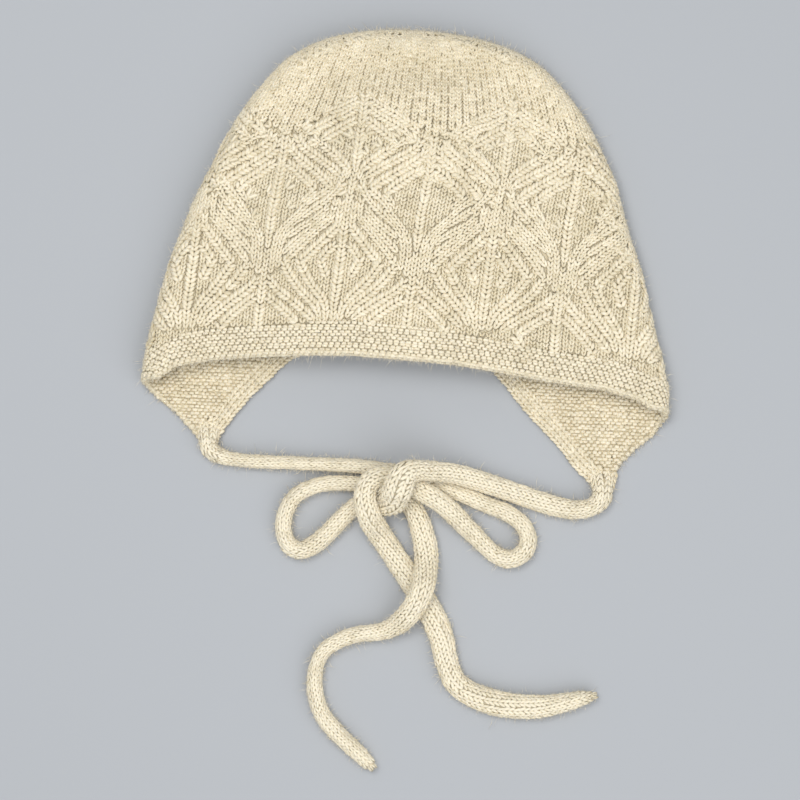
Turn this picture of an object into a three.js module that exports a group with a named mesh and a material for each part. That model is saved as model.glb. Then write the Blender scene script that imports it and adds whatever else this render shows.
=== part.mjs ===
import * as THREE from 'three';
import { mergeVertices } from 'three/addons/utils/BufferGeometryUtils.js';

// A baby's knitted hat with ear flaps, lying on its back, with its two tie cords laid in a bow.
// Millimetres. The table is z = 0, +Z points up, +Y runs from the face opening to the crown.
// x = 0 is the middle of the hat, y = 0 is halfway between the longer flap's tip and the crown.

// Driving dimensions of the hat
const WALL = 2.6; // thickness of the knitted wall
const CROWN_Y = 85; // top of the crown
const ROLL_RADIUS = 6.5; // half the height of the folded edge all round the lying hat
const EAR_FOLD_X = 93.5; // where the flat back layer starts to roll up to the front layer
const FOLD_EDGE_POWER = 2.5; // how late round the ear fold the edge drops to the flap
const BAND_DEPTH = 11; // garter stitch band along the front edge
const SEAT_GAP = 0.3; // gap between pieces that are knitted on to each other
const TIP_SPLIT_X = 75.1; // where the band and the nape edging meet in a flap's tip

// Driving dimensions of the tie cords
const CORD_DIAMETER = 6.2;
const CORD_SIDES = 10;
const CORD_STEPS = 46;

// Fineness of the facets
const FRONT_STEPS = 9;
const ROLL_STEPS = 6;
const BODY_ROWS = 16;
const TRIM_ROWS = 2;
const OUTLINE_SAMPLES = 240;

// Half width of the lying hat, from the flaps up to the crown and a little over its top
const OUTLINE = [
  { y: -95, half: 100 },
  { y: -52, half: 100 },
  { y: -39.5, half: 98.4 },
  { y: -27.5, half: 95.3 },
  { y: -15.5, half: 92.3 },
  { y: -3.5, half: 89 },
  { y: 8.5, half: 84.8 },
  { y: 20.5, half: 80.6 },
  { y: 32.5, half: 75.8 },
  { y: 44.5, half: 70 },
  { y: 56.5, half: 62.6 },
  { y: 68.5, half: 52.6 },
  { y: 75, half: 44.8 },
  { y: 80.8, half: 32 },
  { y: 84, half: 16.6 },
  { y: CROWN_Y, half: 0 },
  { y: 84, half: -16.6 },
];

// How far the middle of the lying hat wanders from x = 0
const MIDDLE = [
  { y: -95, x: 1.2 },
  { y: -72, x: 1.2 },
  { y: -56, x: 0 },
  { y: -46, x: 0 },
  { y: -24, x: -1.1 },
  { y: 15, x: -1.3 },
  { y: 30, x: -0.2 },
  { y: 60, x: -0.5 },
  { y: 76, x: -1.2 },
  { y: CROWN_Y, x: -3 },
];

// How far the front layer swells above the folded edge, along the middle line
const SWELL = [
  { y: -95, rise: 6.5 },
  { y: -45, rise: 6.5 },
  { y: -15, rise: 10.5 },
  { y: 20, rise: 12 },
  { y: 50, rise: 9.5 },
  { y: 72, rise: 3.5 },
  { y: CROWN_Y, rise: 0 },
];

// Shallow dents in the front layer: middle, half length across and along, depth
const DENTS = [
  { x: 2, y: 69, across: 24, along: 7, depth: 2.2 },
  { x: -58, y: 20, across: 14, along: 30, depth: 1.2 },
  { x: 60, y: 8, across: 13, along: 26, depth: 1 },
];

// Front edge from the middle to the ear fold: distance from the middle, the edge on the left and on the right
const FRONT_EDGE = [
  { x: 0, left: -39.2, right: -39.2 },
  { x: 20, left: -38.2, right: -40.3 },
  { x: 37, left: -38.8, right: -42.6 },
  { x: 55, left: -40, right: -45.2 },
  { x: 74, left: -42, right: -47.2 },
  { x: 87, left: -44.8, right: -50.6 },
  { x: EAR_FOLD_X, left: -49.8, right: -54 },
];

// Edge of the back layer from the ear fold over the flap's tip to the middle of the nape:
// distance from the middle, the edge on the left and on the right, and the depth of its trim
const FLAP_EDGE = [
  { x: EAR_FOLD_X, left: -57.2, right: -64.2, trim: 12 },
  { x: 86.5, left: -62.8, right: -69.8, trim: 11.5 },
  { x: 80.5, left: -69.6, right: -76, trim: 10 },
  { x: 78.9, left: -71.6, right: -80.5, trim: 9 },
  { x: 78.3, left: -72.8, right: -85, trim: 8 },
  { x: TIP_SPLIT_X, left: -72.8, right: -85, trim: 8 },
  { x: 71.9, left: -72, right: -84.6, trim: 8 },
  { x: 65, left: -62.8, right: -78.4, trim: 8.5 },
  { x: 58, left: -55, right: -69.8, trim: 9 },
  { x: 46, left: -42.2, right: -57.2, trim: 9.5 },
  { x: 34.5, left: -35.5, right: -43, trim: 8 },
  { x: 20, left: -32, right: -34.5, trim: 7 },
  { x: 0, left: -31, right: -31, trim: 6.5 },
];

// Route of the left tie: flap tip, under the knot, right loop, over to the right tail
const LEFT_TIE = [
  [-73.9, -73.4, 3.3], [-73.6, -75.4, 3.3], [-71.2, -77.7, 3.3], [-66.2, -79.3, 3.3], [-58, -80.1, 3.3],
  [-46, -80.2, 3.3], [-33, -80.2, 3.3], [-20.4, -80.3, 3.3], [-11, -81, 3.3], [-2, -82.2, 3.3],
  [7, -83.8, 3.3], [16, -86.6, 3.3], [24.4, -89.9, 3.3], [33.1, -93.2, 3.3], [40.6, -95.8, 3.3],
  [46.2, -99.8, 3.3], [48.8, -104.8, 3.3], [48, -109.6, 3.3], [44.4, -112.8, 3.3], [39.8, -113.2, 3.3],
  [35, -110.7, 3.3], [30.3, -106.4, 3.5], [24.7, -101.2, 5], [18.4, -95.4, 7.6], [10, -89.8, 10],
  [1.4, -85.7, 10.3], [-6.5, -83.7, 10.3], [-12, -86.4, 10.8], [-13.4, -92.3, 11.3], [-12.4, -96.8, 10.9],
  [-10.4, -101.4, 8], [-5.9, -108, 3.8], [2, -118.6, 3.3], [12, -133, 3.3], [17.2, -143, 3.3],
  [20, -153.4, 3.3], [24.2, -161.6, 3.3], [35, -167, 3.3], [55, -168.9, 3.3], [75.6, -164, 3.3],
];

// Route of the right tie: flap tip, over the knot as its wrap, left loop, under to the left tail
const RIGHT_TIE = [
  [76.3, -85.5, 3.3], [76.1, -88.6, 3.3], [73, -92, 3.3], [67.1, -93.7, 3.3], [60.5, -93, 3.3],
  [36.5, -86.2, 3.5], [26, -83.1, 5.6], [17.6, -81.4, 8.9], [10.6, -80.9, 12.2],
  [5.2, -80.9, 15.2], [1.6, -82.2, 17.3], [-0.4, -85.4, 17.7], [-1.8, -89, 16.2], [-3.8, -92.3, 11.8],
  [-7, -94, 7], [-11, -94.3, 3.8], [-15.6, -94.8, 3.3], [-21, -99.4, 3.3], [-26.8, -105.8, 3.3],
  [-32.2, -110.8, 3.3], [-37.4, -113.2, 3.3], [-41.6, -111.4, 3.3], [-43.9, -106.4, 3.3], [-43.6, -99.6, 3.3],
  [-40.4, -93.2, 3.3], [-34.4, -89.3, 3.3], [-26.5, -87.2, 3.3], [-7, -88.4, 3.3],
  [0, -91.2, 3.3], [5.2, -96.2, 3.3], [9, -105.4, 3.3], [10.5, -115.4, 4.9], [9.4, -126, 10.7],
  [4.9, -135, 8.6], [-3, -141.8, 4.1], [-18, -145.3, 3.3], [-27.4, -151.8, 3.3], [-29.9, -162.5, 3.3],
  [-26.4, -175, 3.3], [-7.4, -193.6, 3.3],
];

// Value of a table's column at y, on straight lines between its rows
function tableAt(rows, key, column, at) {
  const next = rows.findIndex((row) => row[key] >= at);
  if (next <= 0) return rows[next === 0 ? 0 : rows.length - 1][column];
  const [low, high] = [rows[next - 1], rows[next]];
  const share = (at - low[key]) / (high[key] - low[key]);
  return low[column] + share * (high[column] - low[column]);
}

// One skin of the knitted wall: the outline set in by a depth, with its rolled edge and swell
function makeSkin(inset) {
  const spline = new THREE.SplineCurve(OUTLINE.map((row) => new THREE.Vector2(row.half, row.y)));
  const crownY = CROWN_Y - inset;
  const outline = [];
  for (let i = 0; i <= OUTLINE_SAMPLES; i += 1) {
    const point = spline.getPointAt(i / OUTLINE_SAMPLES);
    const along = spline.getTangentAt(i / OUTLINE_SAMPLES);
    const half = point.x - inset * along.y;
    if (half > 0) outline.push({ y: point.y + inset * along.x, half });
  }
  outline.push({ y: crownY, half: 0 });

  const radius = ROLL_RADIUS - inset;
  const rollStartY = 20;
  const roundness = (2 * (crownY - rollStartY)) / radius;

  // Point of the skin at a station around the hat, at y
  return function skinPoint(station, y) {
    const height = Math.min(y, crownY);
    const half = tableAt(outline, 'y', 'half', height);
    const slope = half - tableAt(outline, 'y', 'half', height - 1);
    const rollWidth = Math.min(radius * Math.hypot(1, slope), 0.85 * half);
    const towardsCrown = Math.max(0, (height - rollStartY) / (crownY - rollStartY));
    const rollHeight = radius * Math.sqrt(1 - towardsCrown ** roundness);
    const flat = half - rollWidth;
    let x = flat * station.share;
    let z = ROLL_RADIUS - rollHeight;
    if (station.zone === 'front') {
      let rise = tableAt(SWELL, 'y', 'rise', height) * Math.cos((station.share * Math.PI) / 2) ** 2;
      for (const dent of DENTS) {
        const across = (station.side * x - dent.x) / dent.across;
        const along = (height - dent.y) / dent.along;
        rise -= dent.depth * Math.exp(-across * across - along * along);
      }
      z = ROLL_RADIUS + rollHeight * (1 + rise / radius);
    } else if (station.zone === 'roll') {
      x = flat + rollWidth * Math.sin(station.angle);
      z = ROLL_RADIUS + rollHeight * Math.cos(station.angle);
    }
    const middle = tableAt(MIDDLE, 'y', 'x', height);
    return new THREE.Vector3(middle + station.side * x, height, z);
  };
}

// Stations of one half of the hat, from the middle of the front round the ear fold to the nape
function halfStations(side) {
  const edge = side > 0 ? 'right' : 'left';
  const stations = [];
  for (let i = 0; i <= FRONT_STEPS; i += 1) {
    const share = i / FRONT_STEPS;
    const edgeY = tableAt(FRONT_EDGE, 'x', edge, share * EAR_FOLD_X);
    stations.push({ zone: 'front', side, share, edgeY, trim: BAND_DEPTH });
  }
  const frontY = FRONT_EDGE.at(-1)[edge];
  for (let i = 1; i < ROLL_STEPS; i += 1) {
    const angle = (Math.PI * i) / ROLL_STEPS;
    const turned = (i / ROLL_STEPS) ** FOLD_EDGE_POWER;
    const edgeY = frontY + turned * (FLAP_EDGE[0][edge] - frontY);
    const trim = BAND_DEPTH + turned * (FLAP_EDGE[0].trim - BAND_DEPTH);
    stations.push({ zone: 'roll', side, angle, share: 1, edgeY, trim });
  }
  for (const row of FLAP_EDGE) {
    const place = { zone: 'back', side, share: row.x / EAR_FOLD_X };
    stations.push({ ...place, edgeY: row[edge], trim: row.trim, tip: row.x === TIP_SPLIT_X });
  }
  return stations;
}

// The same station moved along the back layer, for the two ends that meet in a flap's tip
function besideTip(station, offset) {
  return { ...station, share: (TIP_SPLIT_X + offset) / EAR_FOLD_X };
}

// A closed wall between two skins, given as rows of points from the lower to the upper edge.
// A loop joins its last column to its first, and a pole ends every column in one point.
function wallGeometry(outer, inner, { loop, pole }) {
  const rows = outer.length;
  const columns = outer[0].length;
  const points = [...outer.flat(), ...inner.flat()];
  const index = [];
  const at = (skin, row, column) => (skin * rows + row) * columns + (column % columns);
  const quad = (a, b, c, d) => index.push(a, b, c, a, c, d);

  const spans = loop ? columns : columns - 1;
  for (let row = 0; row + 1 < rows; row += 1) {
    for (let column = 0; column < spans; column += 1) {
      const corners = [[row, column], [row, column + 1], [row + 1, column + 1], [row + 1, column]];
      const [a, b, c, d] = corners.map(([r, s]) => at(0, r, s));
      const [e, f, g, h] = corners.map(([r, s]) => at(1, r, s));
      if (pole && row + 2 === rows) {
        index.push(a, b, d, e, h, f);
      } else {
        quad(a, b, c, d);
        quad(e, h, g, f);
      }
    }
  }
  for (let column = 0; column < spans; column += 1) {
    quad(at(0, 0, column), at(1, 0, column), at(1, 0, column + 1), at(0, 0, column + 1));
    if (!pole) {
      const top = rows - 1;
      quad(at(0, top, column), at(0, top, column + 1), at(1, top, column + 1), at(1, top, column));
    }
  }
  if (!loop) {
    const end = columns - 1;
    for (let row = 0; row + 1 < rows; row += 1) {
      quad(at(0, row, 0), at(0, row + 1, 0), at(1, row + 1, 0), at(1, row, 0));
      quad(at(0, row, end), at(1, row, end), at(1, row + 1, end), at(0, row + 1, end));
    }
  }
  const geometry = new THREE.BufferGeometry().setFromPoints(points);
  geometry.setIndex(index);
  const welded = mergeVertices(geometry, 1e-4);
  welded.computeVertexNormals();
  return welded;
}

// Crown, sides, back and flaps, knitted in one, from above the trims up to the crown
function hatBody(stations, outerSkin, innerSkin) {
  const lowerY = (station) => station.edgeY + station.trim + SEAT_GAP;
  const rowsOf = (skin, crownY) => {
    const rows = [];
    for (let i = 0; i <= BODY_ROWS; i += 1) {
      const risen = Math.sin((i / BODY_ROWS) * (Math.PI / 2));
      rows.push(stations.map((s) => skin(s, lowerY(s) + risen * (crownY - lowerY(s)))));
    }
    return rows;
  };
  const outer = rowsOf(outerSkin, CROWN_Y);
  const inner = rowsOf(innerSkin, CROWN_Y - WALL);
  return wallGeometry(outer, inner, { loop: true, pole: true });
}

// A knitted-on trim along a stretch of the hat's edge
function trimStrip(stations, outerSkin, innerSkin) {
  const rowsOf = (skin) => {
    const rows = [];
    for (let i = 0; i <= TRIM_ROWS; i += 1) {
      rows.push(stations.map((s) => skin(s, s.edgeY + (i / TRIM_ROWS) * s.trim)));
    }
    return rows;
  };
  return wallGeometry(rowsOf(outerSkin), rowsOf(innerSkin), { loop: false, pole: false });
}

// A round knitted cord along its route
function tieCord(route) {
  const path = new THREE.CatmullRomCurve3(route.map((p) => new THREE.Vector3(...p)), false, 'centripetal');
  const section = new THREE.Shape();
  for (let i = 0; i < CORD_SIDES; i += 1) {
    const angle = (2 * Math.PI * i) / CORD_SIDES;
    const [x, y] = [Math.cos(angle), Math.sin(angle)].map((part) => (part * CORD_DIAMETER) / 2);
    if (i === 0) section.moveTo(x, y);
    else section.lineTo(x, y);
  }
  const options = { steps: CORD_STEPS, extrudePath: path, bevelEnabled: false };
  return new THREE.ExtrudeGeometry(section, options);
}

const outerSkin = makeSkin(0);
const innerSkin = makeSkin(WALL);
const rightHalf = halfStations(1);
const leftHalf = halfStations(-1);
const aroundHat = [...rightHalf, ...leftHalf.slice(1, -1).reverse()];

// The band runs from the left tip over the front to the right tip, the edging takes the rest
const rightTip = rightHalf.findIndex((station) => station.tip);
const leftTip = leftHalf.findIndex((station) => station.tip);
const halfGap = SEAT_GAP / 2;
const bandStations = [
  besideTip(leftHalf[leftTip], halfGap),
  ...leftHalf.slice(1, leftTip).reverse(),
  ...rightHalf.slice(0, rightTip),
  besideTip(rightHalf[rightTip], halfGap),
];
const edgingStations = [
  besideTip(rightHalf[rightTip], -halfGap),
  ...rightHalf.slice(rightTip + 1),
  ...leftHalf.slice(leftTip + 1, -1).reverse(),
  besideTip(leftHalf[leftTip], -halfGap),
];

const wool = new THREE.MeshStandardMaterial({ color: 0xe0d5ba, roughness: 0.95, metalness: 0 });
const hat = new THREE.Group();
const pieces = {
  hat_body: hatBody(aroundHat, outerSkin, innerSkin),
  front_band: trimStrip(bandStations, outerSkin, innerSkin),
  nape_edging: trimStrip(edgingStations, outerSkin, innerSkin),
  tie_left: tieCord(LEFT_TIE),
  tie_right: tieCord(RIGHT_TIE),
};
for (const [name, geometry] of Object.entries(pieces)) {
  const mesh = new THREE.Mesh(geometry, wool);
  mesh.name = name;
  hat.add(mesh);
}

export default hat;
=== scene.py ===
import bpy
import numpy as np
from math import pi, radians
from mathutils.kdtree import KDTree
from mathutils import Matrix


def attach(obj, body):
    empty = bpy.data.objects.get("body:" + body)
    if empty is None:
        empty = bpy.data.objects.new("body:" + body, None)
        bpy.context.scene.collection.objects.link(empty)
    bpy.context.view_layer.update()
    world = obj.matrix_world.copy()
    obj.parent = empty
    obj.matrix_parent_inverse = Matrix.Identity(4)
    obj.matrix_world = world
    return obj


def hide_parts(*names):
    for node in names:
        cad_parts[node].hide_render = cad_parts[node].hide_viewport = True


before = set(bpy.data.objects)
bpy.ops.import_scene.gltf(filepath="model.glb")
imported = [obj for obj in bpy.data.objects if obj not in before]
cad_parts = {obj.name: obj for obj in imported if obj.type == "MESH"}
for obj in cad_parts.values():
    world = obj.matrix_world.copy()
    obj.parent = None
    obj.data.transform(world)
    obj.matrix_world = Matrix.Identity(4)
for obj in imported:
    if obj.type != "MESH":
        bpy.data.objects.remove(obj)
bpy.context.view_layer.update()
chance = np.random.default_rng(11)
MM = 0.001

# Sizes of the lying hat, in millimetres, as in the part's source
WALL = 2.6
CROWN_Y = 85
ROLL_RADIUS = 6.5
ROLL_START_Y = 20
EAR_FOLD_X = 93.5
FOLD_EDGE_POWER = 2.5
BAND_DEPTH = 11
TIP_SPLIT_X = 75.1
SEAT_GAP = 0.3

# Half width of the hat: half, y
OUTLINE = [
    (100, -95), (100, -52), (98.4, -39.5), (95.3, -27.5), (92.3, -15.5), (89, -3.5), (84.8, 8.5),
    (80.6, 20.5), (75.8, 32.5), (70, 44.5), (62.6, 56.5), (52.6, 68.5), (44.8, 75), (32, 80.8),
    (16.6, 84), (0, 85), (-16.6, 84),
]
# Wandering of the middle of the hat: y, x
MIDDLE = [
    (-95, 1.2), (-72, 1.2), (-56, 0), (-46, 0), (-24, -1.1), (15, -1.3), (30, -0.2), (60, -0.5), (76, -1.2),
    (85, -3),
]
# Swell of the front layer along the middle: y, rise
SWELL = [(-95, 6.5), (-45, 6.5), (-15, 10.5), (20, 12), (50, 9.5), (72, 3.5), (85, 0)]
# Dents of the front layer: x, y, across, along, depth
DENTS = [(2, 69, 24, 7, 2.2), (-58, 20, 14, 30, 1.2), (60, 8, 13, 26, 1)]
# Front edge: x, left edge, right edge
FRONT_EDGE = [
    (0, -39.2, -39.2), (20, -38.2, -40.3), (37, -38.8, -42.6), (55, -40, -45.2), (74, -42, -47.2),
    (87, -44.8, -50.6), (93.5, -49.8, -54),
]
# Edge of the back layer: x, left edge, right edge, trim
FLAP_EDGE = [
    (93.5, -57.2, -64.2, 12), (86.5, -62.8, -69.8, 11.5), (80.5, -69.6, -76, 10), (78.9, -71.6, -80.5, 9),
    (78.3, -72.8, -85, 8), (75.1, -72.8, -85, 8), (71.9, -72, -84.6, 8), (65, -62.8, -78.4, 8.5),
    (58, -55, -69.8, 9), (46, -42.2, -57.2, 9.5), (34.5, -35.5, -43, 8), (20, -32, -34.5, 7),
    (0, -31, -31, 6.5),
]

# Knitting gauge
WALE = 2.8
COURSE = 1.45
YARN_DEPTH = 0.8
CROWN_DEPTH = 1.15
STITCH_INSET = 0.65
GROUND_INSET = 1
# The front's stitches go round the ear fold as far as this station
FRONT_END = 1.95
# The wall lies deep under the lace, and nearer the outside under the crown, whose grooves are shallow
FRONT_WALL_INSET = 1.25
BAND_WALL_INSET = 1
CROWN_WALL_INSET = 0.75
BACK_WALL_INSET = 1.2
WALL_THICK = 0.8
# Heights between which the wall changes over to the crown's depth and back
CROWN_WALL_RISE = (50, 62, 74, 82)
# Stations over which the wall changes from the front's depth to the back's
WALL_TURN = (1.4, 1.9)
# Grid columns of the walls: front, ear fold, back, the band's part of a flap, nape edging
FRONT_COLUMNS, FOLD_COLUMNS, BACK_COLUMNS, FLAP_COLUMNS, NAPE_COLUMNS = 80, 14, 40, 12, 90

# Purl bumps inside the flaps: rows, pitch and size of a bump (across, along, out)
PURL_COURSE = 1.25
PURL_WALE = 2.1
PURL_SIZE = (2.2, 1.6, 1.5)
PURL_STATIONS = (1.15, 2.7)
PURL_TOP = -34
# Garter ridges of the band, and the cast-off loops of its edge: lean over the edge, height, depth
GARTER_ROWS = 10
GARTER_WIDTH = 2.3
GARTER_SIZE = (GARTER_WIDTH, 1.5, 0.8)
GARTER_END = 1.75
CAST_OFF = [(0.5, 0.7, 0), (1.8, 0.2, 0.3), (6, 0.2, 1)]
CAST_OFF_SIZE = (GARTER_WIDTH, 2, 1.3)
# Chains of the nape edging
EDGING_ROWS = 3
EDGING_SIZE = (2.7, 1.9, 1.2)
BACK_WALE = 4
BACK_COURSE = 2.7
BACK_REACH = 88
FLAP_BOTTOM = -84

CORD_HEIGHT = 6.3
CORD_COLUMNS = 9
CORD_COURSE = 1.95
CORD_DEPTH = 0.5
# Depth of the core and of the stitches under the cord's outside, sides of the core, length of one twist
CORE_INSET = 0.6
CHAIN_INSET = 0.45
CORE_SIDES = 12
CORD_TWIST = 300
CORD_NAP = 6500
# The stretch of a flap's tip that narrows into its tie, its fall, and the rows of it that the core reaches into
FUNNEL = 6
FUNNEL_FALL = 0.3
CORE_ROOT = 3
# Least height of a stitch over the floor
FLOOR_CLEAR = 0.05
# Limits of a stitch's size, as shares of the even one
SIZE_LIMITS = (0.6, 1.4)
# Tint of the yarn, with painted light and shade: unevenness from stitch to stitch, height at which a stitch
# is painted palest, painted rise up to there, painted shade at its foot
TINT_SPREAD = 0.09
PAINTED_LIGHT_HEIGHT = 0.6
PAINTED_LIGHT_RISE = 0.6
PAINTED_SHADE_FALL = 0.35
# Length of the nap's fibres: shortest, usual addition, longest
FIBRE_LENGTH = (0.8, 0.8, 7)

# Left tie: flap tip, under the knot, right loop, over to the right tail
LEFT_TIE = [
    (-73.9, -73.4, 3.3), (-73.6, -75.4, 3.3), (-71.2, -77.7, 3.3), (-66.2, -79.3, 3.3), (-58, -80.1, 3.3),
    (-46, -80.2, 3.3), (-33, -80.2, 3.3), (-20.4, -80.3, 3.3), (-11, -81, 3.3), (-2, -82.2, 3.3),
    (7, -83.8, 3.3), (16, -86.6, 3.3), (24.4, -89.9, 3.3), (33.1, -93.2, 3.3), (40.6, -95.8, 3.3),
    (46.2, -99.8, 3.3), (48.8, -104.8, 3.3), (48, -109.6, 3.3), (44.4, -112.8, 3.3), (39.8, -113.2, 3.3),
    (35, -110.7, 3.3), (30.3, -106.4, 3.5), (24.7, -101.2, 5), (18.4, -95.4, 7.6), (10, -89.8, 10),
    (1.4, -85.7, 10.3), (-6.5, -83.7, 10.3), (-12, -86.4, 10.8), (-13.4, -92.3, 11.3), (-12.4, -96.8, 10.9),
    (-10.4, -101.4, 8), (-5.9, -108, 3.8), (2, -118.6, 3.3), (12, -133, 3.3), (17.2, -143, 3.3),
    (20, -153.4, 3.3), (24.2, -161.6, 3.3), (35, -167, 3.3), (55, -168.9, 3.3), (75.6, -164, 3.3),
]
# Right tie: flap tip, over the knot as its wrap, left loop, under to the left tail
RIGHT_TIE = [
    (76.3, -85.5, 3.3), (76.1, -88.6, 3.3), (73, -92, 3.3), (67.1, -93.7, 3.3), (60.5, -93, 3.3),
    (36.5, -86.2, 3.5), (26, -83.1, 5.6), (17.6, -81.4, 8.9), (10.6, -80.9, 12.2),
    (5.2, -80.9, 15.2), (1.6, -82.2, 17.3), (-0.4, -85.4, 17.7), (-1.8, -89, 16.2), (-3.8, -92.3, 11.8),
    (-7, -94, 7), (-11, -94.3, 3.8), (-15.6, -94.8, 3.3), (-21, -99.4, 3.3), (-26.8, -105.8, 3.3),
    (-32.2, -110.8, 3.3), (-37.4, -113.2, 3.3), (-41.6, -111.4, 3.3), (-43.9, -106.4, 3.3),
    (-43.6, -99.6, 3.3), (-40.4, -93.2, 3.3), (-34.4, -89.3, 3.3), (-26.5, -87.2, 3.3), (-7, -88.4, 3.3),
    (0, -91.2, 3.3), (5.2, -96.2, 3.3), (9, -105.4, 3.3), (10.5, -115.4, 4.9), (9.4, -126, 10.7),
    (4.9, -135, 8.6), (-3, -141.8, 4.1), (-18, -145.3, 3.3), (-27.4, -151.8, 3.3), (-29.9, -162.5, 3.3),
    (-26.4, -175, 3.3), (-7.4, -193.6, 3.3),
]

# Width of each tie along its length, as it lies: distance from the flap, width
LEFT_TIE_WIDTH = [
    (-6, 9.5), (0, 7), (8, 6), (14, 5.2), (45, 5.2), (90, 6.4), (128, 6.5), (140, 7), (154, 6.6), (163, 7.4),
    (200, 8), (226, 9), (240, 8.8), (276, 9.6), (292, 8.4), (312, 9.8),
    (326, 9.2), (338, 7.6), (344, 6.6), (348, 5.2), (351.4, 3),
]
RIGHT_TIE_WIDTH = [
    (-6, 10.5), (0, 8), (8, 6.8), (24, 7.8), (60, 7.8), (78, 7.8), (86, 10.6), (97, 11.6), (104, 9.6),
    (114, 6.4), (136, 7.2), (150, 6.4), (180, 5.8), (200, 6), (222, 8.2), (232, 9.2), (250, 8.8),
    (264, 8.4), (274, 6.6), (300, 5.6), (312, 6.2), (330, 6.7), (344, 6.3), (347.6, 5.4), (349.6, 3.4),
]

# Lace: rope lines of the left half of each leaf motif, from the middle of the leaf
LACE_WIDTH = 55.6
LACE_LEAN = 0.1
LACE_SLOPE = 0.02
# The lower lace droops towards the ear folds: fall, arc that has it, power, height where it starts, and
# height over which it grows
DROOP, DROOP_ARC, DROOP_POWER, DROOP_START, DROOP_GROWTH = 8.5, 85, 2.2, 24, 55
RIB_HALF = 24
LEAF_REPEATS = range(-2, 3)
# Reach of the chart to each side, and its heights
LACE_REACH = 115
LACE_HEIGHTS = (-50, 60)
ROPE_COURSE = 1.7
ROPE_WIDTH = 3.8
NARROW_ROPE = 2.1
ROPE_DEPTH = 1.2
# Nearest that a rope comes to another before it ends
ROPE_JOIN = 1.5
GROUND_WALE = 2.4
GROUND_COURSE = 1.45
# Distances that the plain stitches and the crown's keep from the ropes
GROUND_CLEAR = 1.45
CROWN_CLEAR = 1.4
# Bands of two or three ropes bound the leaves; neighbouring leaves share them
LOW_LEAF = [
    [(-2.4, 16), (-2.9, 12.4), (-5.8, 9.6), (-9.5, 7), (-13, 4.6), (-16.5, 2), (-20.6, -1.6), (-15.6, -5.2),
     (-13, -7.7), (-10.4, -10.8), (-7.6, -13.6), (-4.8, -16.6), (-2.9, -20.5), (-2.4, -26), (-2.4, -33)],
    [(-4.7, 18), (-5.4, 15.4), (-8, 12.9), (-12, 10.4), (-16, 8), (-20, 5.4), (-24, 2.2), (-24, -0.6),
     (-21.6, -3.9), (-18.8, -6.8), (-15.6, -9.4), (-12.4, -12), (-9.2, -14.6), (-6.6, -17.6), (-5.1, -21.4),
     (-4.7, -26), (-4.7, -31)],
    [(-7.4, 21), (-8.4, 18.8), (-10.6, 17), (-14, 14.6), (-18, 12), (-22, 9), (-25.4, 5.6), (-25.4, 2)],
    [(-2.3, 7), (-5.5, 5), (-8.5, 2.6), (-11.5, 0.2), (-14.6, -2.8), (-10.6, -7.2)],
]
TALL_LEAF = [
    [(-2.4, 20), (-2.7, 10.4), (-5.4, 7.4), (-8, 4.6), (-10.8, 1.6), (-15, -2.8), (-11.8, -8),
     (-9, -11.6), (-5.8, -14.8), (-3.2, -18.6), (-2.4, -24)],
    [(-4.7, 21), (-5.2, 13.2), (-7.6, 10.8), (-10.4, 8.3), (-13.4, 5.5), (-16.4, 2.4), (-21.2, -2.8),
     (-17.6, -8.2), (-14.2, -12.2), (-10.2, -15.8), (-6.8, -19), (-4.9, -23)],
    [(-7.1, 22), (-7.8, 16.6), (-11, 13.6), (-15, 10.8), (-19.2, 7.8), (-24, 2.8), (-24.4, -3.4)],
    [(-6.4, 15), (-9.2, 12.2), (-12.6, 9.4), (-17, 5.6), (-20.8, 2), (-22.8, -1)],
    [(-2.2, 4), (-4.6, 2), (-7.4, -1.8), (-4.2, -8)],
]
TOP_LEAF = [
    [(-2.4, 12), (-6.9, 9), (-11.4, 7), (-15.8, 4.6), (-19.6, 1.6)],
    [(-2.6, 15.2), (-8, 12), (-13, 9.8), (-18, 6.8), (-21.6, 3.6)],
    [(-2.4, 7.4), (-6, 5.2), (-10, 2.4), (-14.4, -0.8)],
]
# The edge leaf's lower half is under the band
EDGE_LEAF = [LOW_LEAF[0][:7], LOW_LEAF[3]]
# Rope lines, middle of the first leaf
LEAVES = [
    {"ropes": LOW_LEAF, "middle": (3, 24.5)},
    {"ropes": TALL_LEAF, "middle": (3.2 - LACE_WIDTH / 2, -1.8)},
    {"ropes": EDGE_LEAF, "middle": (3, -23.9)},
    {"ropes": TOP_LEAF, "middle": (3.2 - LACE_WIDTH / 2, 41.2)},
]
# The plain crown starts in a zigzag over the upper leaves: height over a leaf, fall to each side
CROWN_START = (59.6, 0.61)
# The crown's columns run towards one point, and are as wide as the gauge at this height
CROWN_POLE = (12, 185)
CROWN_GAUGE_Y = 50
CROWN_LOWEST = 38
CROWN_REACH = 90
# Share of a column's width that its stitches fill, and the painted shade in the dent
CROWN_FILL = 0.82
DENT_PAINTED_SHADE = 0.2

# Camera: straight above, at the picture's middle, turned with the hat
PICTURE_MIDDLE = (-1.8, -54.7)
PICTURE_WIDTH = 302.5
PICTURE_TURN = 2.3
CAMERA_HEIGHT = 1000
SENSOR_WIDTH = 36


def linear(hex_colour):
    """An sRGB hex colour as linear RGBA."""
    parts = [int(hex_colour[i:i + 2], 16) / 255 for i in (1, 3, 5)]
    return [p / 12.92 if p <= 0.04045 else ((p + 0.055) / 1.055) ** 2.4 for p in parts] + [1]


def add_node(tree, kind, links=None, **settings):
    """Adds a node; settings set its properties or its inputs' values, links join its inputs."""
    node = tree.nodes.new(kind)
    for name, value in settings.items():
        if hasattr(node, name):
            setattr(node, name, value)
        else:
            node.inputs[name.replace("_", " ")].default_value = value
    for name, socket in (links or {}).items():
        tree.links.new(socket, node.inputs[name])
    return node


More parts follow.
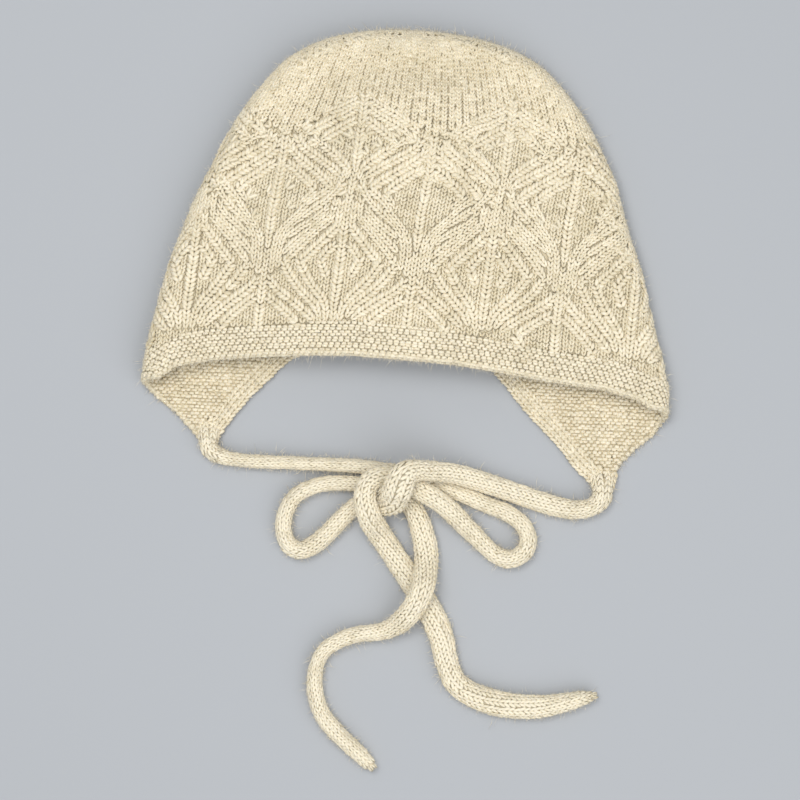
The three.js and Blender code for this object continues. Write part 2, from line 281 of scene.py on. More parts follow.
def wool(name, light, dark_and_painted_shade):
    """Hand-knitted soft wool yarn: matt, with a pale nap, uneven from stitch to stitch; dark colour is painted
    shade.
    """
    material = bpy.data.materials.new(name)
    material.use_nodes = True
    tree = material.node_tree
    shader = tree.nodes["Principled BSDF"]
    shader.inputs["Roughness"].default_value = 0.95
    shader.inputs["Specular IOR Level"].default_value = 0.2
    shader.inputs["Subsurface Weight"].default_value = 0.1
    shader.inputs["Subsurface Radius"].default_value = (1, 0.8, 0.55)
    shader.inputs["Subsurface Scale"].default_value = 0.6 * MM
    shader.inputs["Sheen Weight"].default_value = 0.35
    shader.inputs["Sheen Roughness"].default_value = 0.6
    shader.inputs["Sheen Tint"].default_value = linear("#FFF6E2")
    place = add_node(tree, "ShaderNodeTexCoord").outputs["Object"]
    tint_and_painted_shade = add_node(tree, "ShaderNodeAttribute", attribute_name="tint_and_painted_shade").outputs["Fac"]
    # Clouds of 14 mm where the yarn was spun paler or darker
    cloud = add_node(tree, "ShaderNodeTexNoise", {"Vector": place}, Scale=1 / (14 * MM), Detail=3.0)
    mixed = add_node(tree, "ShaderNodeMath", {0: cloud.outputs["Fac"], 2: tint_and_painted_shade}, operation="MULTIPLY_ADD")
    mixed.inputs[1].default_value = 0.5
    shade = add_node(tree, "ShaderNodeMapRange", {"Value": mixed.outputs[0]})
    for socket, value in (("From Min", 0.2), ("From Max", 1.15)):
        shade.inputs[socket].default_value = value
    colour = add_node(tree, "ShaderNodeMix", {"Factor": shade.outputs["Result"]}, data_type="RGBA")
    colour.inputs[6].default_value = linear(dark_and_painted_shade)
    colour.inputs[7].default_value = linear(light)
    tree.links.new(colour.outputs[2], shader.inputs["Base Color"])
    # Fibres are drawn 0.35 mm apart, coarser than they are, so that they show
    fibre = add_node(tree, "ShaderNodeTexNoise", {"Vector": place}, Scale=1 / (0.35 * MM), Detail=4.0)
    bump = add_node(tree, "ShaderNodeBump", {"Height": fibre.outputs["Fac"]}, Strength=0.5, Distance=0.2 * MM)
    tree.links.new(bump.outputs["Normal"], shader.inputs["Normal"])
    return material


def unit(vectors):
    return vectors / np.maximum(np.linalg.norm(vectors, axis=-1, keepdims=True), 1e-9)


def evenly(line, pitch):
    """Evenly spaced points on a line that is given as points."""
    length = np.r_[0, np.cumsum(np.linalg.norm(np.diff(line, axis=0), axis=1))]
    at = np.linspace(0, length[-1], max(2, int(round(length[-1] / pitch)) + 1))
    return np.stack([np.interp(at, length, column) for column in line.T], axis=1)


def smooth_through(points, pitch, tension=0.0):
    """Evenly spaced points on a smooth curve through the given ones. Tension suits uneven distances."""
    points = np.asarray(points, float)
    ends = np.vstack([2 * points[0] - points[1], points, 2 * points[-1] - points[-2]])
    step = np.linalg.norm(np.diff(ends, axis=0), axis=1) ** tension
    share = np.linspace(0, 1, 20, endpoint=False)[:, None]
    pieces = []
    for a, b, c, d, before, here, after in zip(ends, ends[1:], ends[2:], ends[3:], step, step[1:], step[2:]):
        leave = here * ((b - a) / before - (c - a) / (before + here) + (c - b) / here)
        arrive = here * ((c - b) / here - (d - b) / (here + after) + (d - c) / after)
        pieces.append(b + leave * share + (3 * (c - b) - 2 * leave - arrive) * share ** 2
                      + (2 * (b - c) + leave + arrive) * share ** 3)
    curve = np.vstack(pieces + [points[-1:]])
    return evenly(curve, pitch)


OUTLINE_CURVE = smooth_through(OUTLINE, 1)


def fold_at(y, inset):
    """Flat half width, width and height of the rolled edge at y, on the skin set in by a depth."""
    ahead = unit(np.gradient(OUTLINE_CURVE, axis=0))
    halves = OUTLINE_CURVE[:, 0] - inset * ahead[:, 1]
    heights = OUTLINE_CURVE[:, 1] + inset * ahead[:, 0]
    keep = halves > 0
    crown, radius = CROWN_Y - inset, ROLL_RADIUS - inset
    halves, heights = np.r_[halves[keep], 0], np.r_[heights[keep], crown]
    half = np.interp(y, heights, halves)
    slope = half - np.interp(y - 1, heights, halves)
    roll = np.minimum(radius * np.hypot(1, slope), 0.85 * half)
    towards_crown = np.clip((y - ROLL_START_Y) / (crown - ROLL_START_Y), 0, 1)
    height = radius * np.sqrt(1 - towards_crown ** (2 * (crown - ROLL_START_Y) / radius))
    return half - roll, roll, height


def skin(station, y, inset=0.0):
    """Points of the hat's skin. Station 0 is the middle of the front, 1 to 2 the ear fold, 3 the nape."""
    y = np.minimum(y, CROWN_Y - inset)
    flat, roll, height = fold_at(y, inset)
    side, station = np.sign(station), np.abs(station)
    front, back = np.clip(station, 0, 1), np.clip(3 - station, 0, 1)
    turn = pi * np.clip(station - 1, 0, 1)
    x = side * (flat * np.where(station < 2, front, back) + roll * np.sin(turn))
    rise = np.interp(y, *np.transpose(SWELL)) * np.cos(front * pi / 2) ** 2
    for dent_x, dent_y, across, along, depth in DENTS:
        rise = rise - depth * np.exp(-((x - dent_x) / across) ** 2 - ((y - dent_y) / along) ** 2)
    rise = np.where(station < 1, rise / (ROLL_RADIUS - inset), 0)
    middle = np.interp(y, *np.transpose(MIDDLE))
    return np.stack([middle + x, y, ROLL_RADIUS + height * (np.cos(turn) + rise)], axis=-1)


def station_at(around, y):
    """Station of a point that lies an arc away from the middle of the front."""
    flat, roll, height = fold_at(y, 0.0)
    arc, half_turn = np.abs(around), pi * (roll + height) / 2
    station = np.where(arc < flat, arc / flat, 1 + (arc - flat) / half_turn)
    return np.sign(around) * np.where(station > 2, 2 + (arc - flat - half_turn) / flat, station)


def arc_at(station, y):
    """Arc from the middle of the front to a station as far as the fold: the way back from station_at."""
    flat, roll, height = fold_at(y, 0.0)
    half_turn = pi * (roll + height) / 2
    on_front, on_fold = np.clip(np.abs(station), 0, 1), np.clip(np.abs(station) - 1, 0, 1)
    return np.sign(station) * (on_front * flat + on_fold * half_turn)


def crown_start(station, y):
    """Height at which the plain crown takes over from the lace."""
    beside = arc_at(station, y) - LACE_LEAN * y - LEAVES[1]["middle"][0]
    beside = (beside + LACE_WIDTH / 2) % LACE_WIDTH - LACE_WIDTH / 2
    return CROWN_START[0] - CROWN_START[1] * np.abs(beside)


def edge_at(station):
    """The hat's lower edge and the depth of its trim at a station."""
    fold = np.linspace(0, 1, 9)[1:-1]
    turned = fold ** FOLD_EDGE_POWER
    found = []
    for column in (1, 2):
        front_x, front = np.transpose(FRONT_EDGE)[[0, column]]
        back_x, back, trim = np.transpose(FLAP_EDGE)[[0, column, 3]]
        along = np.r_[front_x / EAR_FOLD_X, 1 + fold, 3 - back_x / EAR_FOLD_X]
        edges = np.r_[front, front[-1] + turned * (back[0] - front[-1]), back]
        trims = np.r_[0 * front + BAND_DEPTH, BAND_DEPTH + turned * (trim[0] - BAND_DEPTH), trim]
        found.append([np.interp(np.abs(station), along, values) for values in (edges, trims)])
    return np.where(station < 0, found[0], found[1])


def stitch_line(station, y, pitch, inset, face=1, start=0.5):
    """Places and axes of stitches evenly along a line on the skin. Face -1 is the inside."""
    path = skin(station, y, inset)
    length = np.r_[0, np.cumsum(np.linalg.norm(np.diff(path, axis=0), axis=1))]
    count = max(1, int(round(length[-1] / pitch)))
    at = (np.arange(count) + start) / count * length[-1]
    ahead = np.gradient(path, axis=0)
    along = unit(np.stack([np.interp(at, length, column) for column in ahead.T], axis=1))
    station, y = np.interp(at, length, station), np.interp(at, length, y)
    # Outwards is square to two short steps on the skin, round the hat and up it
    round_hat = skin(station + 0.002, y, inset) - skin(station - 0.002, y, inset)
    up_hat = skin(station, y + 0.1, inset) - skin(station, y - 0.1, inset)
    out = face * unit(np.cross(round_hat, up_hat))
    across = unit(np.cross(along, out))
    return {"place": skin(station, y, inset), "across": across, "along": np.cross(out, across), "out": out,
            "station": station, "y": y}


def up_to_seam(low, inset, count):
    """Heights from a low one to the crown's seam, closer together where the skin rolls over."""
    seam = CROWN_Y - inset - 0.01
    return seam - (seam - low) * np.linspace(1, 0, count) ** 2


def gather(lines):
    return {key: np.concatenate([line[key] for line in lines]) for key in lines[0]}


def keep_where(stitches, test):
    return {key: values[test] for key, values in stitches.items()}


def grain(stations, sides):
    """A closed strand through its stations (x, y, z, half width, half depth), with pointed ends."""
    first, *rings, last = stations
    turn = np.arange(sides) * 2 * pi / sides
    points = [np.array([first[:3]])]
    for x, y, z, wide, deep in rings:
        points.append(np.stack([x + wide * np.cos(turn), y + 0 * turn, z + deep * np.sin(turn)], axis=1))
    points.append(np.array([last[:3]]))
    end, faces = 1 + sides * len(rings), []
    for i in range(sides):
        j = (i + 1) % sides
        faces.append((0, 1 + i, 1 + j))
        for ring in range(len(rings) - 1):
            low, high = 1 + sides * ring, 1 + sides * (ring + 1)
            faces += [(low + i, high + i, high + j), (low + i, high + j, low + j)]
        faces.append((end, end - sides + j, end - sides + i))
    return np.vstack(points), np.array(faces)


def both(first, second):
    return np.vstack([first[0], second[0]]), np.vstack([first[1], second[1] + len(first[0])])


def mesh_piece(name, corners, faces, tint_and_painted_shade, material):
    """A smooth mesh from its corners in millimetres, with the tint and painted shade of its yarn."""
    mesh = bpy.data.meshes.new(name)
    mesh.from_pydata((np.asarray(corners) * MM).tolist(), [], faces)
    mesh.attributes.new("tint_and_painted_shade", "FLOAT", "POINT").data.foreach_set("value", tint_and_painted_shade)
    mesh.shade_smooth()
    piece = bpy.data.objects.new(name, mesh)
    bpy.context.collection.objects.link(piece)
    return finish_piece(piece, material)


def finish_piece(piece, material):
    piece.data.materials.clear()
    piece.data.materials.append(material)
    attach(piece, "root")
    return piece


def knit(name, shape, stitches, size, material, spread=0.07, shade=0.5):
    """One joined piece of many stitches: the shape is copied to each place, a little uneven."""
    points, faces = shape
    count = len(stitches["place"])
    corners = stitches["place"][:, None] + spread * chance.standard_normal((count, 1, 3))
    for axis, key in enumerate(("across", "along", "out")):
        uneven = np.clip(1 + spread * chance.standard_normal((count, 1, 1)), *SIZE_LIMITS)
        reach = stitches[key][:, None] * points[None, :, axis, None]
        corners = corners + reach * np.reshape(size[axis], (-1, 1, 1)) * uneven
    faces = faces[None] + (np.arange(count) * len(points))[:, None, None]
    # The hat lies on the floor
    corners[..., 2] = np.maximum(corners[..., 2], FLOOR_CLEAR)
    # Painted light and shade: paler on top of a stitch, darker where it goes in between its neighbours
    tint_and_painted_shade = np.reshape(shade, (-1, 1)) + TINT_SPREAD * chance.standard_normal((count, 1))
    tint_and_painted_shade = tint_and_painted_shade + PAINTED_LIGHT_RISE * np.clip(points[:, 2] / PAINTED_LIGHT_HEIGHT, 0, 1) - PAINTED_SHADE_FALL
    tint_and_painted_shade = np.clip(tint_and_painted_shade, 0, 1).ravel()
    return mesh_piece(name, corners.reshape(-1, 3), faces.reshape(-1, 3).tolist(), tint_and_painted_shade, material)


def loose_fibres(name, roots, count):
    """The nap of the yarn: fine bent fibres, most of them short, that stand off the stitches."""
    pick = chance.integers(0, len(roots["place"]), count)
    out = roots["out"][pick]
    along = unit(chance.standard_normal((count, 3)) + out * chance.uniform(0.3, 1.6, (count, 1)))
    along = unit(along + out * np.maximum(0, 0.15 - np.sum(along * out, axis=1, keepdims=True)))
    across = unit(np.cross(along, chance.standard_normal((count, 3))))
    shortest, addition, longest = FIBRE_LENGTH
    length = np.minimum(shortest + chance.exponential(addition, count), longest)
    fibres = {"place": roots["place"][pick] + 0.2 * out, "along": along, "across": across,
              "out": np.cross(across, along), "length": length}
    # No fibre goes into the floor
    tip = fibres["place"] + 1.4 * along * length[:, None]
    fibres = keep_where(fibres, tip[:, 2] > 0.5)
    length = fibres["length"]
    return knit(name, FIBRE, fibres, (length ** 0.5, length, 1), loose_wool, spread=0.2)


def two_legs(leg, sides):
    """A knit stitch from one of its legs, which is mirrored for the other."""
    return both(grain(leg, sides), grain([(-x, *rest) for x, *rest in leg], sides))


# A knit stitch: two slanting legs that open upwards, their ends under the next rows
KNIT_STITCH = two_legs([
    (0.04, -0.85, -0.5), (0.12, -0.42, 0.06, 0.23, 0.5), (0.24, 0.06, 0.2, 0.27, 0.58),
    (0.36, 0.58, 0.12, 0.25, 0.52), (0.45, 1.05, -0.4),
], 5)
# The same with fewer faces, for the small stitches and for the back
PLAIN_STITCH = two_legs([
    (0.04, -0.85, -0.5), (0.14, -0.36, 0.12, 0.26, 0.56), (0.33, 0.48, 0.15, 0.27, 0.56), (0.44, 1.02, -0.4),
], 4)
# The bow of one loop, which lies across its column, its ends going in below it
BOW = [(0.6, -0.4, -0.45), (0.3, -0.02, 0.15, 0.48, 0.55), (-0.3, -0.02, 0.15, 0.48, 0.55), (-0.6, -0.4, -0.45)]
# A fibre of the nap, bent in its middle
FIBRE = grain([(0, 0, 0), (0.2, 0.5, 0, 0.05, 0.05), (0, 1, 0)], 3)


def purl_bump(stations, sides):
    """A closed strand whose sections stand across its way, unlike a leg's."""
    points, faces = grain([(y, x, *rest) for x, y, *rest in stations], sides)
    return points[:, [1, 0, 2]], faces[:, ::-1]


PURL_BUMP = purl_bump(BOW, 5)

bpy.ops.object.select_all(action="DESELECT")

bpy.ops.object.camera_add(
    location=(PICTURE_MIDDLE[0] * MM, PICTURE_MIDDLE[1] * MM, CAMERA_HEIGHT * MM),
    rotation=(0, 0, radians(PICTURE_TURN)),
)
camera = bpy.context.object
camera.data.sensor_width = SENSOR_WIDTH
camera.data.lens = SENSOR_WIDTH * (CAMERA_HEIGHT - ROLL_RADIUS) / PICTURE_WIDTH
bpy.context.scene.camera = camera

# Cream yarn with painted light and shade: pale where a loop stands up to the light, painted straw-coloured
# shade in the creases, so each stitch reads
yarn = wool("soft_wool_yarn_painted_crease_shade", "#FBF0D7", "#C3B48E")
# The same wool seen between the stitches, painted duller and more even as painted shade, so that the gaps look
# shaded and not open
ground = wool("wool_between_stitches_painted_shade", "#DED3B8", "#D0C4A6")
# Single fibres let the light through: almost white, which gives the hat its soft outline
loose_wool = wool("loose_wool_fibre", "#FFFAEE", "#EDE3CC")


def lay_tie(name, route, widths):
    """A knitted cord that grows out of a flap's tip: a soft core, and columns of stitches round it."""
    line = smooth_through(route, CORD_COURSE, 0.5)
    # The first stitches still lie flat, in the flap
    lead = np.arange(FUNNEL, 0, -CORD_COURSE)
    start = len(lead)
    root = start - CORE_ROOT
    line = np.vstack([line[0] + lead[:, None] * (0, 1, -FUNNEL_FALL), line])
    along = unit(np.gradient(line, axis=0))
    side = unit(np.cross(along, (0, 0, 1)))
    over = np.cross(side, along)
    distance = np.r_[0, np.cumsum(np.linalg.norm(np.diff(line, axis=0), axis=1))]
    distance -= distance[start]
    half_wide = np.interp(distance, *np.transpose(widths))[:, None] / 2
    half_high = np.minimum(np.minimum(CORD_HEIGHT / 2, half_wide), line[:, 2:] - 0.1)

    def ring(angle, depth):
        return line + side * np.cos(angle) * (half_wide - depth) + over * np.sin(angle) * (half_high - depth)

    sides = CORE_SIDES
    rings = np.stack([ring(2 * pi * i / sides, CORE_INSET) for i in range(sides)], axis=1)[root:]
    core_line = line[root:]
    corners = np.vstack([rings.reshape(-1, 3), core_line[:1], core_line[-1:]])
    faces = []
    for row in range(len(core_line) - 1):
        for i in range(sides):
            a, b = row * sides + i, row * sides + (i + 1) % sides
            faces.append((a, a + sides, b + sides, b))
    last = (len(core_line) - 1) * sides
    for i in range(sides):
        j = (i + 1) % sides
        faces += [(len(corners) - 2, i, j), (len(corners) - 1, last + j, last + i)]
    core = mesh_piece(name + "_core", corners, faces, np.full(len(corners), 0.5), ground)
    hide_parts(name)

    columns = []
    for column in range(CORD_COLUMNS):
        angle = 2 * pi * (column / CORD_COLUMNS + distance[:, None] / CORD_TWIST)
        out = unit(side * np.cos(angle) / half_wide + over * np.sin(angle) / half_high)
        out = unit(out - along * np.sum(out * along, axis=1, keepdims=True))
        place = ring(angle, CHAIN_INSET)
        columns.append({"place": place, "across": np.cross(along, out), "along": along, "out": out,
                        "wide": pi * (half_wide + half_high)[:, 0] / CORD_COLUMNS,
                        "long": np.linalg.norm(np.gradient(place, axis=0), axis=1)})
    stitches = gather(columns)
    size = (stitches["wide"], stitches["long"], CORD_DEPTH)
    chains = knit(name + "_stitches", KNIT_STITCH, stitches, size, yarn, shade=0.7)
    # The nap stands on the sides, where it shows against the floor
    beside = keep_where(stitches, np.abs(stitches["out"][:, 2] - 0.2) < 0.7)
    nap = loose_fibres(name + "_nap", beside, CORD_NAP)


lay_tie("tie_left", LEFT_TIE, LEFT_TIE_WIDTH)
lay_tie("tie_right", RIGHT_TIE, RIGHT_TIE_WIDTH)


def knit_wall(name, stations, low, high, rows, front_inset):
    """The knitted wall under the stitches, between two edges, from a grid that is laid on the skin."""
    columns = len(stations)
    bpy.ops.object.select_all(action="DESELECT")
    bpy.ops.mesh.primitive_grid_add(x_subdivisions=columns - 1, y_subdivisions=rows, size=1)
    wall = bpy.context.object
    wall.name = wall.data.name = name
    spots = np.empty(len(wall.data.vertices) * 3)
    wall.data.vertices.foreach_get("co", spots)
    spots = spots.reshape(-1, 3)
    station = np.interp(spots[:, 0], np.linspace(-0.5, 0.5, columns), stations)
    share = spots[:, 1] + 0.5
    station = np.where(station > 3, station - 6, station)
    low, high = low(station), high(station)
    y = low + (high - low) * np.sin(share * pi / 2)
    front = np.interp(np.abs(station), WALL_TURN, (1, 0))[:, None]
    on_crown = np.interp(y, CROWN_WALL_RISE, (0, 1, 1, 0))[:, None]
    front_laid = (1 - on_crown) * skin(station, y, front_inset) + on_crown * skin(station, y, CROWN_WALL_INSET)
    laid = front * front_laid + (1 - front) * skin(station, y, BACK_WALL_INSET)
    wall.data.vertices.foreach_set("co", (laid * MM).ravel())
    bpy.ops.object.mode_set(mode="EDIT")
    bpy.ops.mesh.select_all(action="SELECT")
    bpy.ops.mesh.remove_doubles(threshold=0.05 * MM)
    bpy.ops.object.mode_set(mode="OBJECT")
    thick = wall.modifiers.new("thickness", "SOLIDIFY")
    thick.thickness = WALL_THICK * MM
    thick.offset = -1
    bpy.ops.object.modifier_apply(modifier="thickness")
    bpy.ops.object.shade_smooth()
    tint_and_painted_shade = np.full(len(wall.data.vertices), 0.5)
    wall.data.attributes.new("tint_and_painted_shade", "FLOAT", "POINT").data.foreach_set("value", tint_and_painted_shade)
    finish_piece(wall, ground)
    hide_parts(name.removesuffix("_wall"))


def over_front(end, end_columns):
    """Stations from one side of the back over the front to the other side."""
    half = np.r_[np.linspace(1, 2, FOLD_COLUMNS)[1:], np.linspace(2, end, end_columns)[1:]]
    return np.r_[-half[::-1], np.linspace(-1, 1, FRONT_COLUMNS), half]


def lower_edge(station):
    return edge_at(station)[0]


def trim_top(station):
    return edge_at(station).sum(axis=0)


tip = 3 - TIP_SPLIT_X / EAR_FOLD_X
tip_gap = SEAT_GAP / 2 / EAR_FOLD_X
knit_wall("hat_body_wall", over_front(3, BACK_COLUMNS), lambda s: trim_top(s) + SEAT_GAP,
          lambda s: 0 * s + CROWN_Y - BACK_WALL_INSET, 54, FRONT_WALL_INSET)
knit_wall("front_band_wall", over_front(tip - tip_gap, FLAP_COLUMNS), lower_edge, trim_top, 6,
          BAND_WALL_INSET)
knit_wall("nape_edging_wall", np.linspace(tip + tip_gap, 6 - tip - tip_gap, NAPE_COLUMNS), lower_edge, trim_top, 5,
          FRONT_WALL_INSET)


def lace_place(u, v):
    """Station and height of a point of the lace chart, as the fabric lies."""
    droop = DROOP * (np.abs(u) / DROOP_ARC) ** DROOP_POWER * np.clip((DROOP_START - v) / DROOP_GROWTH, 0, 1)
    y = v - LACE_SLOPE * u - droop
    return station_at(u + LACE_LEAN * v, y), y


def in_lace(stitches):
    """Those of the stitches that lie between the crown and the band, and not behind the fold."""
    edge, trim = edge_at(stitches["station"])
    over_band = stitches["y"] > edge + trim + 0.1
    under_crown = stitches["y"] < crown_start(stitches["station"], stitches["y"])
    return keep_where(stitches, over_band & under_crown & (np.abs(stitches["station"]) < FRONT_END))


def lace_chart():
    """The middle ribs and the ropes of all leaves, as lines of stitches, the first ones knitted through."""
    rib = [(0, RIB_HALF), (0, 0), (0, -RIB_HALF)]
    lines = []
    for rank in range(len(TALL_LEAF) + 1):
        for kind, leaf in enumerate(LEAVES):
            for rope in [rib, *leaf["ropes"]][rank:rank + 1]:
                for across in LEAF_REPEATS:
                    middle = np.add(leaf["middle"], (across * LACE_WIDTH, 0))
                    for side in (-1, 1) if rank else (1,):
                        line = evenly(rope * np.array((side, 1)) + middle, 0.6)[::-1]
                        stitches = in_lace(stitch_line(*lace_place(*line.T), ROPE_COURSE, STITCH_INSET))
                        lines.append(stitches | {"leaf": np.full(len(stitches["y"]), kind)})
    return lines


def lay_ropes(lines):
    """All rope stitches: a rope ends where it runs into an earlier one, and is as wide as it has room."""
    laid, taken = [], np.full((1, 3), np.inf)
    for number, line in enumerate(lines):
        gap = np.linalg.norm(line["place"][:, None] - taken, axis=2).min(axis=1)
        line = keep_where(line, gap > ROPE_JOIN)
        taken = np.vstack([taken, line["place"]])
        laid.append(line | {"rope": np.full(len(line["y"]), number)})
    ropes = gather(laid)
    tree = KDTree(len(ropes["place"]))
    for index, place in enumerate(ropes["place"]):
        tree.insert(place, index)
    tree.balance()
    room = []
    for place, rope in zip(ropes["place"], ropes["rope"]):
        beside = [far for _, index, far in tree.find_range(place, ROPE_WIDTH) if ropes["rope"][index] != rope]
        room.append(min(beside, default=ROPE_WIDTH))
    return ropes | {"wide": np.clip(room, NARROW_ROPE, ROPE_WIDTH)}, tree


ropes, rope_tree = lay_ropes(lace_chart())
for kind, name in enumerate(("low_leaf_lace", "tall_leaf_lace", "edge_leaf_lace", "top_leaf_lace")):
    stitches = keep_where(ropes, ropes["leaf"] == kind)
    depth = ROPE_DEPTH * (stitches["wide"] / ROPE_WIDTH) ** 0.5
    knit(name, KNIT_STITCH, stitches, (stitches["wide"], ROPE_COURSE, depth), yarn)


def off_ropes(stitches, distance):
    """Which of the stitches keep a distance from all ropes."""
    return np.array([rope_tree.find(place)[2] > distance for place in stitches["place"]])


# Plain columns fill the leaves and the corners that no rope covers
ground_lines = []
for u in np.arange(-LACE_REACH, LACE_REACH + 1, GROUND_WALE):
    v = np.linspace(*LACE_HEIGHTS, 160)
    ground_lines.append(stitch_line(*lace_place(u + 0 * v, v), GROUND_COURSE, GROUND_INSET))
fill = in_lace(gather(ground_lines))
fill = keep_where(fill, off_ropes(fill, GROUND_CLEAR))
# Their yarn is painted a little darker: painted shade of the recessed leaf insides
knit("lace_ground", PLAIN_STITCH, fill, (GROUND_WALE, GROUND_COURSE, YARN_DEPTH), yarn, shade=0.43)

crown_lines = []
for start in np.arange(-CROWN_REACH, CROWN_REACH + 1, WALE):
    y = up_to_seam(CROWN_LOWEST, STITCH_INSET, 120)
    around = start + (CROWN_POLE[0] - start) * (y - CROWN_GAUGE_Y) / (CROWN_POLE[1] - CROWN_GAUGE_Y)
    stitches = stitch_line(station_at(around, y), y, COURSE, STITCH_INSET)
    narrowed = WALE * (CROWN_POLE[1] - stitches["y"]) / (CROWN_POLE[1] - CROWN_GAUGE_Y)
    crown_lines.append(stitches | {"wide": narrowed})
crown = gather(crown_lines)
over_lace = crown["y"] > crown_start(crown["station"], crown["y"])
crown = keep_where(crown, over_lace & (np.abs(crown["station"]) < FRONT_END) & off_ropes(crown, CROWN_CLEAR))
# Painted shade: the crown's stitches are painted darker in the dent
dent_x, dent_y, across, along, _ = DENTS[0]
x, y, _ = crown["place"].T
painted_dent_shade = np.exp(-((x - dent_x) / across) ** 2 - ((y - dent_y) / along) ** 2)
knit("crown_stitches", KNIT_STITCH, crown, (CROWN_FILL * crown["wide"], COURSE, CROWN_DEPTH), yarn,
     spread=0.04, shade=0.5 - DENT_PAINTED_SHADE * painted_dent_shade)


def purl_rows(lines):
    """Purl bumps along lines of stitches: rows of arches and of hanging loops take turns."""
    for row, line in enumerate(lines):
        up = 1 if row % 2 else -1
        line["across"], line["along"] = up * line["along"], -up * line["across"]
    return gather(lines)


on_fold = np.linspace(1, GARTER_END, 20)[1:]
round_front = np.r_[-on_fold[::-1], np.linspace(-1, 1, 120), on_fold]
edge, trim = edge_at(round_front)
# The ridges keep their distance from the edge where it slants down into the ear folds
edge_line = evenly(np.stack([arc_at(round_front, edge), edge], axis=1), 1)
slant = np.gradient(edge_line[:, 1], edge_line[:, 0])
# The slant is evened out over 19 mm
slant = np.convolve(np.pad(slant, 9, mode="edge"), np.full(19, 1 / 19), mode="valid")
inwards = unit(np.stack([-slant, 1 + 0 * slant], axis=1))
band_lines = []
for row in range(GARTER_ROWS + 3):
    around, y = (edge_line + inwards * BAND_DEPTH * (row + 0.6) / GARTER_ROWS).T
    line = stitch_line(station_at(around, y), y, GARTER_WIDTH, STITCH_INSET - 0.1, start=0.5 * (row % 2))
    line_edge, line_trim = edge_at(line["station"])
    band_lines.append(keep_where(line, line["y"] < line_edge + 1.07 * line_trim))
band = purl_rows(band_lines)
# The band's yarn is painted a little paler: painted light where the lamps leave it darker
knit("band_ridges", PURL_BUMP, band, GARTER_SIZE, yarn, shade=0.55)

# The cast-off loops along the band's edge, over the front and down the flaps, lean over the edge
rim_lines = []
for lean, up, deep in CAST_OFF:
    lines = [stitch_line(round_front, edge + up, GARTER_WIDTH, STITCH_INSET + 0.2 + deep, start=up)]
    for side in (-1, 1):
        station = side * np.linspace(1.5, tip, 60)
        inside = WALL - STITCH_INSET - deep
        lines.append(stitch_line(station, lower_edge(station) + up, GARTER_WIDTH, inside, face=-1, start=up))
    for line in lines:
        line["out"] = unit(line["out"] - (0, lean, 0))
        line["across"] = unit(np.cross(line["along"], line["out"]))
        line["along"] = np.cross(line["out"], line["across"])
    rim_lines += lines
rim = purl_rows(rim_lines)
knit("band_cast_off", PURL_BUMP, rim, CAST_OFF_SIZE, yarn)

edging_lines = []
for side in (-1, 1):
    for row in range(EDGING_ROWS):
        station = side * np.linspace(tip, 2.995, 120)
        edge, trim = edge_at(station)
        y = edge + trim * (row + 0.5) / EDGING_ROWS
        edging_lines.append(stitch_line(station, y, EDGING_SIZE[1], WALL - 0.6, face=-1))
edging = gather(edging_lines)
knit("nape_chains", KNIT_STITCH, edging, EDGING_SIZE, yarn)

# The inside of the flaps and of the ear folds is the purl side
purl_lines = []
for row, y in enumerate(np.arange(FLAP_BOTTOM, PURL_TOP, PURL_COURSE)):
    for side in (-1, 1):
        station = side * np.linspace(*PURL_STATIONS, 200)
        start = 0.25 + 0.5 * (row % 2)
        line = stitch_line(station, 0 * station + y, PURL_WALE, WALL - STITCH_INSET, face=-1, start=start)
        edge, trim = edge_at(line["station"])
        lowest = np.where(np.abs(line["station"]) < tip, edge + 1, edge + trim)
        purl_lines.append(keep_where(line, line["y"] > lowest))
purl = purl_rows(purl_lines[0::2] + purl_lines[1::2])
knit("flap_inside_purl", PURL_BUMP, purl, PURL_SIZE, yarn, spread=0.13, shade=0.5)

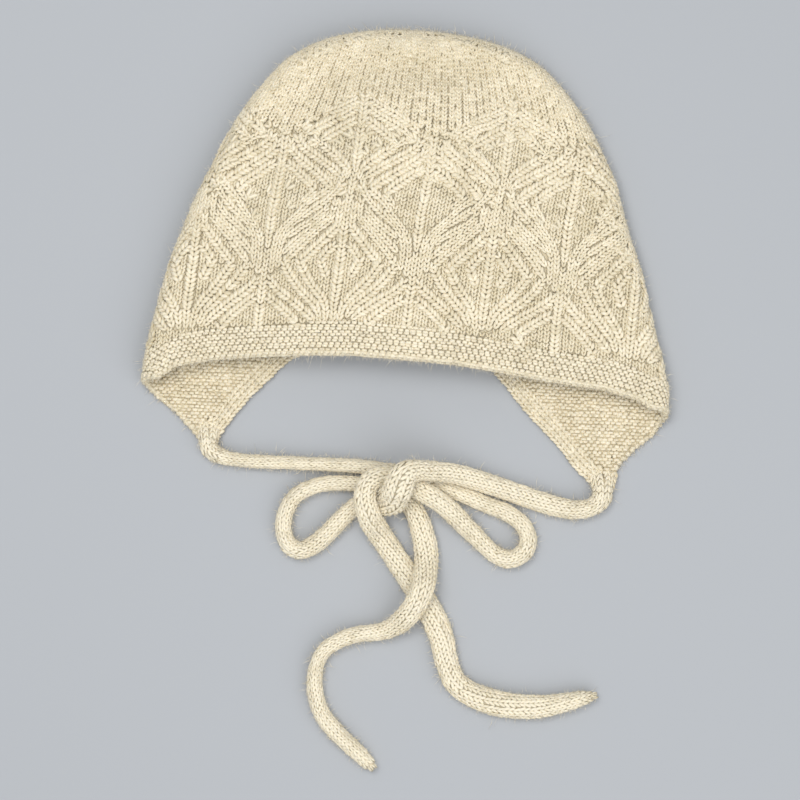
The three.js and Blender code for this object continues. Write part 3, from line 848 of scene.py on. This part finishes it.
# The outside of the back, on which the hat lies, is plain
back_lines = []
for x in np.arange(0, BACK_REACH, BACK_WALE) + BACK_WALE / 2:
    y = up_to_seam(FLAP_BOTTOM, STITCH_INSET + 0.1, 400)
    for side in (-1, 1):
        station = side * (3 - x / fold_at(y, 0.0)[0])
        edge, trim = edge_at(station)
        shown = (np.abs(station) > 2) & (y > edge + 1)
        back_lines.append(stitch_line(station[shown], y[shown], BACK_COURSE, STITCH_INSET + 0.1))
back = gather(back_lines)
knit("back_stitches", PLAIN_STITCH, back, (BACK_WALE, BACK_COURSE, YARN_DEPTH), yarn)

# The nap: a little all over, and most of it where the hat's outline shows against the floor
face = gather([{key: part[key] for key in ("place", "out", "station", "y")} for part in (ropes, fill, crown)])
outline = keep_where(face, (np.abs(face["station"]) > 1.05) | (face["y"] > 80))
for name, roots, count, slot in (
    ("face_nap", face, 3000, "body_knit"),
    ("outline_nap", outline, 10500, "body_knit"),
    ("band_nap", band, 2000, "band_knit"),
    ("flap_nap", purl, 1200, "body_knit"),
    ("edging_nap", edging, 2000, "edging_knit"),
    ("rim_nap", rim, 5000, "band_knit"),
):
    loose_fibres(name, roots, count)

# A pale plain floor of matt paper, grey enough that the cream wool stands out from it, and soft studio light
bpy.ops.object.select_all(action="DESELECT")
bpy.ops.mesh.primitive_plane_add(size=4)
floor = bpy.context.object
floor.name = "floor"
paper = bpy.data.materials.new("matt_floor_paper")
paper.use_nodes = True
paper.node_tree.nodes["Principled BSDF"].inputs["Base Color"].default_value = linear("#B4B7BB")
paper.node_tree.nodes["Principled BSDF"].inputs["Roughness"].default_value = 0.9
floor.data.materials.append(paper)

for name, place, size, energy in (
    ("window_light", (-0.22, 0.18, 1.05), 0.6, 6.4),
    ("fill_light", (0.45, -0.6, 0.85), 1.2, 6),
):
    lamp = bpy.data.objects.new(name, bpy.data.lights.new(name, "AREA"))
    lamp.data.size = size
    lamp.data.energy = energy
    lamp.location = place
    aim = np.array((0, -0.05, 0)) - place
    tilt = np.arctan2(np.hypot(aim[0], aim[1]), -aim[2])
    lamp.rotation_euler = (tilt, 0, np.arctan2(aim[1], aim[0]) - pi / 2)
    bpy.context.collection.objects.link(lamp)
world = bpy.data.worlds.new("studio")
world.use_nodes = True
world.node_tree.nodes["Background"].inputs["Color"].default_value = linear("#EDF0F3")
world.node_tree.nodes["Background"].inputs["Strength"].default_value = 0.45
bpy.context.scene.world = world
bpy.context.scene.view_settings.view_transform = "Standard"
